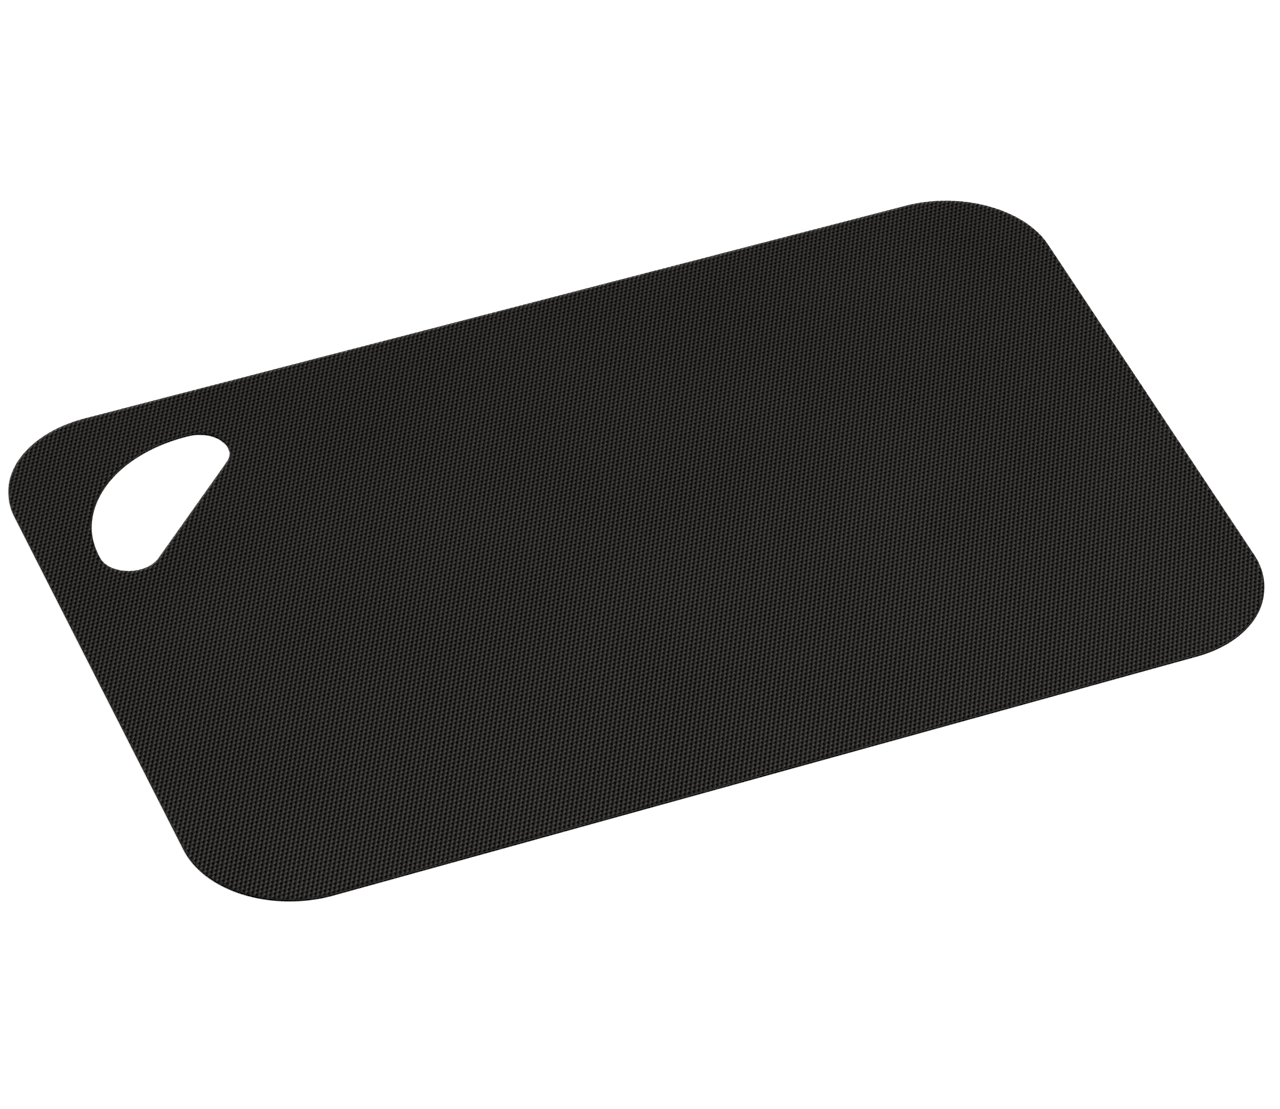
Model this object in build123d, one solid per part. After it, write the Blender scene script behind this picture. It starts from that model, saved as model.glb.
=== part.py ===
"""Flexible cutting mat: one thin moulded sheet with round corners and a grip opening in one corner.

Millimetres, +Z up. The origin is on the underside, in the middle of the mat. +X runs along the long
sides and +Y away from the cook, so the grip opening is in the far left corner.
"""

import math
import os

from build123d import *

# Sheet
MAT_LENGTH = 380.0
MAT_DEPTH = 250.0
MAT_THICKNESS = 1.0
CORNER_RADIUS = 38.0

# Eased rims of the sheet and of the grip opening, above and below
RIM_RADIUS = 0.2
RIM_LIMIT_SHARE = 0.4

# Grip opening, a half-moon square to the diagonal of the far left corner, and how far its middle
# lies off that diagonal, towards the long side
GRIP_BAND = 33.0
GRIP_WIDTH = 32.5
GRIP_CROWN_RADIUS = 47.0
GRIP_END_RADIUS = 10.6
GRIP_SLIDE = -0.8


def half_moon():
    """Face of the grip opening, its straight side on the X axis and its crown towards +Y."""
    crown_centre = Vector(0, GRIP_WIDTH - GRIP_CROWN_RADIUS)
    # Each end arc touches the straight side from above and the crown from inside
    centre_gap = GRIP_CROWN_RADIUS - GRIP_END_RADIUS
    end_rise = GRIP_END_RADIUS - crown_centre.Y
    half_side = math.sqrt(centre_gap**2 - end_rise**2)
    to_end = (Vector(half_side, GRIP_END_RADIUS) - crown_centre).normalized()
    right_touch = crown_centre + to_end * GRIP_CROWN_RADIUS
    left_touch = Vector(-right_touch.X, right_touch.Y)

    side = Line((-half_side, 0), (half_side, 0))
    right_end = TangentArc(side @ 1, right_touch, tangent=side % 1)
    crown = ThreePointArc(right_touch, (0, GRIP_WIDTH), left_touch)
    left_end = TangentArc(left_touch, side @ 0, tangent=crown % 1)
    return make_face([side, right_end, crown, left_end])


def grip_plane():
    """Plane of the opening: origin in the middle of its straight side, +Y out to the corner."""
    outwards = Vector(-1, 1).normalized()
    along = Vector(1, 1).normalized()
    corner_centre = Vector(CORNER_RADIUS - MAT_LENGTH / 2, MAT_DEPTH / 2 - CORNER_RADIUS)
    inset = GRIP_BAND + GRIP_WIDTH
    middle = corner_centre + outwards * (CORNER_RADIUS - inset) + along * GRIP_SLIDE
    return Plane(origin=middle, x_dir=along, z_dir=(0, 0, 1))


def ease_rims(sheet):
    """The sheet with every edge of its two faces rounded, round the outside and the opening."""
    flat_faces = sheet.faces().filter_by(Axis.Z)
    radius = min(RIM_RADIUS, MAT_THICKNESS * RIM_LIMIT_SHARE)
    return fillet(flat_faces.edges(), radius=radius)


def mat():
    """The whole mat, one sheet of one material."""
    blank = RectangleRounded(MAT_LENGTH, MAT_DEPTH, CORNER_RADIUS)
    opening = grip_plane() * half_moon()
    sheet = extrude(blank - opening, amount=MAT_THICKNESS, dir=(0, 0, 1))
    return ease_rims(sheet)


def main():
    os.makedirs("parts", exist_ok=True)
    export_step(mat(), "parts/mat.step")


main()
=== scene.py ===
"""Flexible cutting mat: the dimples of its work face, its plastic, and the picture's light and camera.

Metres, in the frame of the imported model: +Z up, the underside on the floor, the grip opening far left.
"""

import math

import bpy
import numpy as np
from mathutils import Matrix, Vector
from mathutils.geometry import delaunay_2d_cdt


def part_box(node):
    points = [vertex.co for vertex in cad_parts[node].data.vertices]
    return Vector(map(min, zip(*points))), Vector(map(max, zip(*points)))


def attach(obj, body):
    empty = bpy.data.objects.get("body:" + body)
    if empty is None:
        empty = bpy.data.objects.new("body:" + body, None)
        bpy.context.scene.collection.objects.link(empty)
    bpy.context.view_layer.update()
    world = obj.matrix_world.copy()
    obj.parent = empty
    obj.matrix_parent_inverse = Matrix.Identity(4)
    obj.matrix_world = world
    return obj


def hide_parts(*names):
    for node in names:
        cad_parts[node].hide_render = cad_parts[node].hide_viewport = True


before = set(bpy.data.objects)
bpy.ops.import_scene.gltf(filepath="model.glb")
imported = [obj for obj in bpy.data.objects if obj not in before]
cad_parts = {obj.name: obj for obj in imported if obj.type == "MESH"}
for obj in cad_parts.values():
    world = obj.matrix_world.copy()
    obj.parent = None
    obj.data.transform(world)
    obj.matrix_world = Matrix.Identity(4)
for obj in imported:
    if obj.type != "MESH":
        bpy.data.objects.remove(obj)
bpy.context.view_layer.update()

MM = 0.001

# Least distance that counts as one, in metres
TINY = 1e-12
SAME_POINT = 1e-9

# Sheet, with its length, depth and thickness read from the frame
SHEET_LOW, SHEET_HIGH = (np.array(corner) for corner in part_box("mat"))
LENGTH, DEPTH, THICKNESS = SHEET_HIGH - SHEET_LOW
CORNER_RADIUS = 38.0 * MM

# Grip opening, a half-moon square to the diagonal of the far left corner, and how far its middle
# lies off that diagonal, towards the long side
GRIP_BAND = 33.0 * MM
GRIP_WIDTH = 32.5 * MM
GRIP_CROWN_RADIUS = 47.0 * MM
GRIP_END_RADIUS = 10.6 * MM
GRIP_SLIDE = -0.8 * MM

# Oval dimples of the work face, in half-stepped rows that run a little askew to the sheet
DIMPLE_PITCH = 1.646 * MM
ROW_PITCH = 1.750 * MM
ROW_TILT = math.radians(1.83)
COLUMN_TILT = math.radians(2.53)
DIMPLE_DEPTH = 0.50 * MM
DIMPLE_LONG_RADIUS = 1.11 * MM
DIMPLE_SHORT_RADIUS = 0.595 * MM
DIMPLE_TURN = math.radians(72.1)
DIMPLE_FLATNESS = 6.4
DIMPLE_DEPTH_SPREAD_SHARE = 0.05
DIMPLE_SEED = 7

# Mesh steps from one dimple to the next, along its row and over to the row behind
DIMPLE_STEPS = 4

# Cut edge: how far the rims are eased, the flat border that keeps each easing crisp, and the strip
# beside the rims where the dimples run out
RIM_EASE = 0.05 * MM
RIM_BORDER = 0.03 * MM
RIM_STRIP = 0.5 * MM

# Underside, a coarser net of flat triangles
UNDERSIDE_STEP = 6.0 * MM

# Flat layout of the faces for baking, the work face over the underside, as shares of a square
LAID_MARGIN = 3.0 * MM
LAID_DEPTH_SHARE = 0.5
LAID_ACROSS_SHARE = 0.5
LAID_TOP_SHARE = 0.75
LAID_UNDERSIDE_SHARE = 0.25

# Plastic: colour down in the dimples, made darker there as painted shade, and up on the land; shine in
# both; and the share of the depth where the land's shine starts
PIT_SHADE_COLOUR = (0.00010, 0.00008, 0.00005, 1.0)
LAND_COLOUR = (0.0014, 0.0012, 0.0009, 1.0)
PIT_ROUGHNESS = 0.12
LAND_ROUGHNESS = 0.59
LAND_SHARE = 0.42
ROUGHNESS_DRIFT = 0.02

# Wide clouds in the shine, specks of wear in the colour and fine grain in the surface, and the
# shares of their noise that count as none and all
CLOUD_SIZE = 60.0 * MM
CLOUD_DETAIL = 3.0
CLOUD_LOW_SHARE = 0.3
CLOUD_HIGH_SHARE = 0.7
SPECK_SIZE = 2.5 * MM
SPECK_DETAIL = 2.0
SPECK_LOW_SHARE = 0.35
SPECK_HIGH_SHARE = 0.7
UNWORN_SHARE = 0.6
GRAIN_SIZE = 0.12 * MM
GRAIN_DETAIL = 2.0
GRAIN_DEPTH = 0.004 * MM

# White floor and the white room around it
WHITE = (1.0, 1.0, 1.0, 1.0)
SQUARE_SHARES = ((-0.5, -0.5), (0.5, -0.5), (0.5, 0.5), (-0.5, 0.5))
ROOM_END_SHARES = (-0.5, 0.5)
FLOOR_SIDE = 8.0
FLOOR_GAP = 0.05 * MM
ROOM_SIDE = 16.0
STAGE_COLOUR = (0.1, 0.1, 0.1, 1.0)
STAGE_ROUGHNESS = 1.0
STAGE_GLOW = 1.0

# Soft box and sky
KEY_DISTANCE = 6.0
KEY_AZIMUTH = math.radians(127.0)
KEY_ELEVATION = math.radians(55.0)
KEY_SIDE = 1.5
KEY_GLOW = 112.0
KEY_COLOUR = (1.0, 0.972, 0.908)
SKY_GLOW = 0.001

# Camera: where the view meets the floor, and how it looks there
AIM = Vector((-0.8 * MM, -9.3 * MM, 0.0))
VIEW_DISTANCE = 2906.0 * MM
VIEW_AZIMUTH = math.radians(21.03)
VIEW_ELEVATION = math.radians(42.16)
VIEW_ROLL = math.radians(-0.55)
VIEW_REACH = 20.0
LENS_MM = 243.5
SENSOR_MM = 36.0


def lattice():
    """Plan vectors, as columns, to the next dimple in a row and to one in the row behind."""
    along = DIMPLE_PITCH * np.array([math.cos(ROW_TILT), math.sin(ROW_TILT)])
    climb = 2 * ROW_PITCH / math.cos(ROW_TILT + COLUMN_TILT)
    two_rows = climb * np.array([math.sin(COLUMN_TILT), math.cos(COLUMN_TILT)])
    return np.stack([along, (along + two_rows) / 2], axis=1)


def unit(vectors):
    """The vectors, each scaled to a length of one."""
    return vectors / np.linalg.norm(vectors, axis=-1, keepdims=True)


def from_outer_edge(plan):
    """Distance of plan points out past the rounded outline, negative inside, and the way out."""
    core = np.array([LENGTH / 2, DEPTH / 2]) - CORNER_RADIUS
    beyond = np.abs(plan) - core
    in_corner = (beyond > 0).all(axis=1)
    nearer_x = beyond[:, 0] > beyond[:, 1]
    sign = np.where(plan < 0, -1.0, 1.0)
    square = np.stack([nearer_x, ~nearer_x], axis=1)
    outwards = np.where(in_corner[:, None], unit(np.maximum(beyond, TINY)), square) * sign
    reach = np.where(in_corner, np.linalg.norm(beyond, axis=1), beyond.max(axis=1))
    return reach - CORNER_RADIUS, outwards


def from_grip_edge(plan):
    """Distance of plan points in past the grip opening's rim, negative on the sheet, and the way in."""
    along = unit(np.array([1.0, 1.0]))
    outwards = unit(np.array([-1.0, 1.0]))
    corner_centre = np.array([CORNER_RADIUS - LENGTH / 2, DEPTH / 2 - CORNER_RADIUS])
    middle = corner_centre + outwards * (CORNER_RADIUS - GRIP_BAND - GRIP_WIDTH) + along * GRIP_SLIDE
    local = np.stack([(plan - middle) @ along, (plan - middle) @ outwards], axis=1)

    # The opening is a circle segment with sharp ends, grown by the radius of its ends
    crown = np.array([0.0, GRIP_WIDTH - GRIP_CROWN_RADIUS])
    core_radius = GRIP_CROWN_RADIUS - GRIP_END_RADIUS
    end_rise = GRIP_END_RADIUS - crown[1]
    half_side = math.sqrt(core_radius**2 - end_rise**2)
    from_crown = local - crown
    above_side = local[:, 1] > GRIP_END_RADIUS
    over_arc = above_side & (np.abs(from_crown[:, 0]) * end_rise < from_crown[:, 1] * half_side)
    shrink = np.minimum(core_radius / np.linalg.norm(from_crown, axis=1), 1.0)
    on_arc = crown + from_crown * shrink[:, None]
    along_side = local[:, 0].clip(-half_side, half_side)
    on_side = np.stack([along_side, np.full(len(plan), GRIP_END_RADIUS)], axis=1)
    away = local - np.where(over_arc[:, None], on_arc, on_side)
    gap = np.linalg.norm(away, axis=1)
    inwards = -away / np.maximum(gap, TINY)[:, None]
    return GRIP_END_RADIUS - gap, inwards[:, :1] * along + inwards[:, 1:] * outwards


def from_edge(plan, inset=0.0):
    """Distance of plan points past the sheet's nearest edge, drawn in by inset, and the way off."""
    outer, out_way = from_outer_edge(plan)
    grip, grip_way = from_grip_edge(plan)
    at_grip = grip > outer
    return np.where(at_grip, grip, outer) + inset, np.where(at_grip[:, None], grip_way, out_way)


def face_heights(plan):
    """Height of the work face over plan points: flat land, and oval dimples of slightly varied depth."""
    distance, _ = from_edge(plan)
    strip = (-distance / RIM_STRIP).clip(0.0, 1.0)
    basis = lattice()
    place = plan @ np.linalg.inv(basis).T
    corner = np.floor(place).astype(int)
    low = corner.min(axis=0)
    count = corner.max(axis=0) - low + 2
    random = np.random.default_rng(DIMPLE_SEED)
    depth = DIMPLE_DEPTH * (1.0 + DIMPLE_DEPTH_SPREAD_SHARE * random.uniform(-1.0, 0.0, count))
    long_way = np.array([math.cos(DIMPLE_TURN), math.sin(DIMPLE_TURN)]) / DIMPLE_LONG_RADIUS
    short_way = np.array([-math.sin(DIMPLE_TURN), math.cos(DIMPLE_TURN)]) / DIMPLE_SHORT_RADIUS
    drop = np.zeros(len(plan))
    for step in ((0, 0), (1, 0), (0, 1), (1, 1)):
        dimple = corner + step
        offset = (place - dimple) @ basis.T
        reach = np.hypot(offset @ long_way, offset @ short_way)
        drop = np.maximum(drop, (1.0 - reach**DIMPLE_FLATNESS) * depth[tuple((dimple - low).T)])
    return THICKNESS - drop * strip


def work_face():
    """Plan points and faces of the work face, on a net that follows the dimples up to the outline."""
    steps = lattice() / DIMPLE_STEPS
    corners = np.array([[-LENGTH, -DEPTH], [LENGTH, -DEPTH], [-LENGTH, DEPTH], [LENGTH, DEPTH]]) / 2
    reach = np.abs(corners @ np.linalg.inv(steps).T).max(axis=0).astype(int) + 2
    i, j = np.meshgrid(*(np.arange(-n, n + 1) for n in reach), indexing="ij")
    plan = np.stack([i.ravel(), j.ravel()], axis=1) @ steps.T
    distance, way_off = from_edge(plan, RIM_BORDER + RIM_EASE)

    # Of each net line that crosses the outline, the end nearer to it is moved onto it
    index = np.arange(len(plan)).reshape(i.shape)
    lines = np.concatenate([
        np.stack([index[:-1].ravel(), index[1:].ravel()], axis=1),
        np.stack([index[:, :-1].ravel(), index[:, 1:].ravel()], axis=1),
    ])
    crossing = lines[(distance[lines] > 0).sum(axis=1) == 1]
    nearer = np.abs(distance[crossing]).argmin(axis=1)
    on_edge = np.zeros(len(plan), bool)
    on_edge[crossing[np.arange(len(crossing)), nearer]] = True
    plan[on_edge] -= distance[on_edge, None] * way_off[on_edge]

    inside = (distance < 0) & ~on_edge
    kept = inside | on_edge
    around = [index[:-1, :-1], index[1:, :-1], index[1:, 1:], index[:-1, 1:]]
    squares = np.stack(around, axis=-1).reshape(-1, len(around))
    squares = squares[inside[squares].any(axis=1)]
    whole = kept[squares].all(axis=1)
    quads = squares[whole]
    cut = squares[~whole]
    triangles = cut[kept[cut]].reshape(-1, 3)
    return plan, quads, triangles


def border_lines(quads, triangles):
    """The directed lines that only one face has."""
    sides = [np.stack([f, np.roll(f, -1, axis=1)], axis=2).reshape(-1, 2) for f in (quads, triangles)]
    lines = np.concatenate(sides)
    key = np.sort(lines, axis=1)
    _, where, times = np.unique(key, axis=0, return_inverse=True, return_counts=True)
    return lines[times[where.ravel()] == 1]


def underside_faces(rim_plan, rim_lines):
    """Extra plan points inside the rims, and triangles over the rims' points and those."""
    across, up = (np.arange(-side / 2, side / 2, UNDERSIDE_STEP) for side in (LENGTH, DEPTH))
    extra = np.stack([axis.ravel() for axis in np.meshgrid(across, up)], axis=1)
    extra = extra[from_edge(extra)[0] < -UNDERSIDE_STEP / 2]
    points = np.concatenate([rim_plan, extra])
    found = delaunay_2d_cdt([Vector(p) for p in points.tolist()], rim_lines.tolist(), [], 1, SAME_POINT)
    source = np.array([original[0] for original in found[3]])
    triangles = source[np.array(found[2])]
    on_sheet = from_edge(points[triangles].mean(axis=1))[0] < 0
    return extra, triangles[on_sheet]


def mat_skin():
    """The whole mat as one closed mesh, with a flat layout of its faces for baking."""
    plan, quads, triangles = work_face()
    used = np.unique(np.concatenate([quads.ravel(), triangles.ravel()]))
    renumber = np.zeros(len(plan), int)
    renumber[used] = np.arange(len(used))
    plan, quads, triangles = plan[used], renumber[quads], renumber[triangles]
    heights = face_heights(plan)

    lines = border_lines(quads, triangles)
    rim = np.unique(lines)
    place = np.zeros(len(plan), int)
    place[rim] = np.arange(len(rim))
    lines = place[lines]
    rim_plan = plan[rim]
    rim_heights = heights[rim]
    _, way_off = from_edge(rim_plan)

    # Rings down the cut edge: how far each stands out, its height, and how far out it is laid flat
    edge = RIM_BORDER + RIM_EASE
    wall = THICKNESS - 2 * RIM_EASE
    level = np.zeros(len(rim))
    rings = (
        (RIM_BORDER, rim_heights, RIM_BORDER),
        (edge, rim_heights - RIM_EASE, edge),
        (edge, rim_heights - RIM_EASE - RIM_BORDER, edge + RIM_BORDER),
        (edge, level + RIM_EASE + RIM_BORDER, edge + wall - RIM_BORDER),
        (edge, level + RIM_EASE, edge + wall),
        (RIM_BORDER, level, edge + wall + RIM_EASE),
        (0.0, level, edge + wall + edge),
    )
    points = [np.column_stack([plan, heights])]
    laid = [plan]
    faces = [quads, triangles]
    above = rim
    total = len(plan)
    start, end = lines[:, 0], lines[:, 1]
    for out, height, laid_out in rings:
        below = total + np.arange(len(rim))
        total += len(rim)
        points.append(np.column_stack([rim_plan + way_off * out, height]))
        laid.append(rim_plan + way_off * laid_out)
        faces.append(np.stack([above[end], above[start], below[start], below[end]], axis=1))
        above = below
    extra, under = underside_faces(rim_plan, lines)
    points.append(np.column_stack([extra, np.zeros(len(extra))]))
    under_index = np.concatenate([above, total + np.arange(len(extra))])
    under = under_index[under]

    points = np.concatenate(points)
    laid = np.concatenate(laid)
    mesh = bpy.data.meshes.new("mat_skin")
    mesh.from_pydata(points.tolist(), [], [f for part in (*faces, under) for f in part.tolist()])
    mesh.shade_smooth()
    corners = [layout(laid[part.ravel()], LAID_TOP_SHARE) for part in faces]
    corners.append(layout(points[under.ravel(), :2], LAID_UNDERSIDE_SHARE))
    flat = mesh.uv_layers.new(name="OFBake")
    flat.uv.foreach_set("vector", np.concatenate(corners).ravel())
    mesh.update()
    return bpy.data.objects.new("mat_skin", mesh)


def layout(plan, up_share):
    """Plan points in the square that the colours are baked on, centred at a share of its height."""
    room = np.array([LENGTH, DEPTH]) + 2 * LAID_MARGIN
    return plan / room * (1.0, LAID_DEPTH_SHARE) + (LAID_ACROSS_SHARE, up_share)


def linked(tree, node, socket, source):
    """Joins a node's output to another node's input, or sets the input to a plain value."""
    if hasattr(source, "links"):
        tree.links.new(source, node.inputs[socket])
    else:
        node.inputs[socket].default_value = source


def noise(tree, spot, size, detail):
    """Cloudy values from 0 to 1, with blots about as wide as size."""
    node = tree.nodes.new("ShaderNodeTexNoise")
    node.inputs["Scale"].default_value = 1.0 / size
    node.inputs["Detail"].default_value = detail
    linked(tree, node, "Vector", spot)
    return node.outputs["Fac"]


def remap(tree, value, low, high, to_low, to_high):
    """A value whose span from low to high becomes the span from to_low to to_high, and no further."""
    node = tree.nodes.new("ShaderNodeMapRange")
    for socket, source in zip(node.inputs, (value, low, high, to_low, to_high)):
        linked(tree, node, socket.name, source)
    return node.outputs["Result"]


def plastic():
    """Near-black moulded plastic: shiny dimples whose colour is darkened as painted shade, matt land
    between them, faint wear and clouds.
    """
    material = bpy.data.materials.new("mat_plastic")
    material.use_nodes = True
    tree = material.node_tree
    shader = tree.nodes["Principled BSDF"]
    spot = tree.nodes.new("ShaderNodeTexCoord").outputs["Object"]
    height = tree.nodes.new("ShaderNodeSeparateXYZ")
    linked(tree, height, "Vector", spot)
    land = remap(tree, height.outputs["Z"], THICKNESS - DIMPLE_DEPTH, THICKNESS, 0.0, 1.0)

    clouds = noise(tree, spot, CLOUD_SIZE, CLOUD_DETAIL)
    specks = noise(tree, spot, SPECK_SIZE, SPECK_DETAIL)
    grain = noise(tree, spot, GRAIN_SIZE, GRAIN_DETAIL)

    # Colour: painted shade, darkest down in the dimples and lifting to the land's own colour up top,
    # where specks of wear vary it
    shade_and_wear_mix = tree.nodes.new("ShaderNodeMix")
    shade_and_wear_mix.data_type = "RGBA"
    shade_and_wear = tree.nodes.new("ShaderNodeMath")
    shade_and_wear.operation = "MULTIPLY"
    linked(tree, shade_and_wear, 0, land)
    linked(tree, shade_and_wear, 1, remap(tree, specks, SPECK_LOW_SHARE, SPECK_HIGH_SHARE, UNWORN_SHARE, 1.0))
    linked(tree, shade_and_wear_mix, "Factor", shade_and_wear.outputs[0])
    # The dimples' colour is painted shade, far darker than the plastic on the land
    shade_and_wear_mix.inputs["A"].default_value = PIT_SHADE_COLOUR
    shade_and_wear_mix.inputs["B"].default_value = LAND_COLOUR
    linked(tree, shader, "Base Color", shade_and_wear_mix.outputs["Result"])

    # Shine: smooth dimples, land whose roughness drifts a little over the sheet, and grain on both
    shiniest = LAND_ROUGHNESS - ROUGHNESS_DRIFT
    roughest = LAND_ROUGHNESS + ROUGHNESS_DRIFT
    land_shine = remap(tree, clouds, CLOUD_LOW_SHARE, CLOUD_HIGH_SHARE, shiniest, roughest)
    linked(tree, shader, "Roughness", remap(tree, land, 0.0, LAND_SHARE, PIT_ROUGHNESS, land_shine))
    bump = tree.nodes.new("ShaderNodeBump")
    bump.inputs["Distance"].default_value = GRAIN_DEPTH
    linked(tree, bump, "Height", grain)
    linked(tree, shader, "Normal", bump.outputs["Normal"])
    return material


def stage(name, corners, faces, material):
    """Part of the surroundings that only the camera sees, so the black mat doesn't mirror its glow."""
    mesh = bpy.data.meshes.new(name)
    mesh.from_pydata(corners, [], faces)
    mesh.materials.append(material)
    made = bpy.data.objects.new(name, mesh)
    made.visible_glossy = False
    made.visible_diffuse = False
    made.visible_shadow = False
    bpy.context.scene.collection.objects.link(made)


def surroundings():
    """Plain white floor just under the mat, lit through as a light table is, in a plain white room."""
    material = bpy.data.materials.new("stage_white")
    material.use_nodes = True
    shader = material.node_tree.nodes["Principled BSDF"]
    shader.inputs["Base Color"].default_value = STAGE_COLOUR
    shader.inputs["Roughness"].default_value = STAGE_ROUGHNESS
    shader.inputs["Specular IOR Level"].default_value = 0.0
    shader.inputs["Emission Color"].default_value = WHITE
    shader.inputs["Emission Strength"].default_value = STAGE_GLOW

    floor = [(x * FLOOR_SIDE, y * FLOOR_SIDE, -FLOOR_GAP) for x, y in SQUARE_SHARES]
    stage("floor", floor, [(0, 1, 2, 3)], material)
    ends = [(x, y, z) for z in ROOM_END_SHARES for x, y in SQUARE_SHARES]
    room = [(x * ROOM_SIDE, y * ROOM_SIDE, z * ROOM_SIDE) for x, y, z in ends]
    walls = [(0, 1, 5, 4), (1, 2, 6, 5), (2, 3, 7, 6), (3, 0, 4, 7)]
    stage("room", room, [(0, 1, 2, 3), (4, 5, 6, 7), *walls], material)


def key_light():
    """Square soft box that faces the mat from far off, high up and to the right."""
    data = bpy.data.lights.new("key", "AREA")
    data.shape = "SQUARE"
    data.size = KEY_SIDE
    data.energy = KEY_GLOW * math.pi * KEY_SIDE**2
    data.color = KEY_COLOUR
    light = bpy.data.objects.new("key", data)
    level = KEY_DISTANCE * math.cos(KEY_ELEVATION)
    rise = KEY_DISTANCE * math.sin(KEY_ELEVATION)
    light.location = Vector((level * math.sin(KEY_AZIMUTH), level * math.cos(KEY_AZIMUTH), rise))
    light.rotation_euler = light.location.to_track_quat("Z", "Y").to_euler()
    bpy.context.scene.collection.objects.link(light)


def studio():
    """One soft box high up to the right of the mat, and a weak even sky."""
    world = bpy.data.worlds.new("studio")
    world.use_nodes = True
    background = world.node_tree.nodes["Background"]
    background.inputs["Color"].default_value = WHITE
    background.inputs["Strength"].default_value = SKY_GLOW
    bpy.context.scene.world = world
    key_light()
    bpy.context.scene.view_settings.view_transform = "Standard"


def camera():
    """The photograph's camera."""
    data = bpy.data.cameras.new("camera")
    data.lens = LENS_MM
    data.sensor_width = SENSOR_MM
    data.sensor_fit = "HORIZONTAL"
    data.clip_end = VIEW_REACH
    view = bpy.data.objects.new("camera", data)
    level = math.cos(VIEW_ELEVATION)
    fall = math.sin(VIEW_ELEVATION)
    forward = Vector((level * math.sin(VIEW_AZIMUTH), level * math.cos(VIEW_AZIMUTH), -fall))
    turn = forward.to_track_quat("-Z", "Y").to_matrix() @ Matrix.Rotation(VIEW_ROLL, 3, "Z")
    view.matrix_world = Matrix.Translation(AIM - forward * VIEW_DISTANCE) @ turn.to_4x4()
    bpy.context.scene.collection.objects.link(view)
    bpy.context.scene.camera = view


def main():
    skin = mat_skin()
    bpy.context.scene.collection.objects.link(skin)
    skin.data.materials.append(plastic())
    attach(skin, "root")
    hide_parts("mat")
    surroundings()
    studio()
    camera()


main()
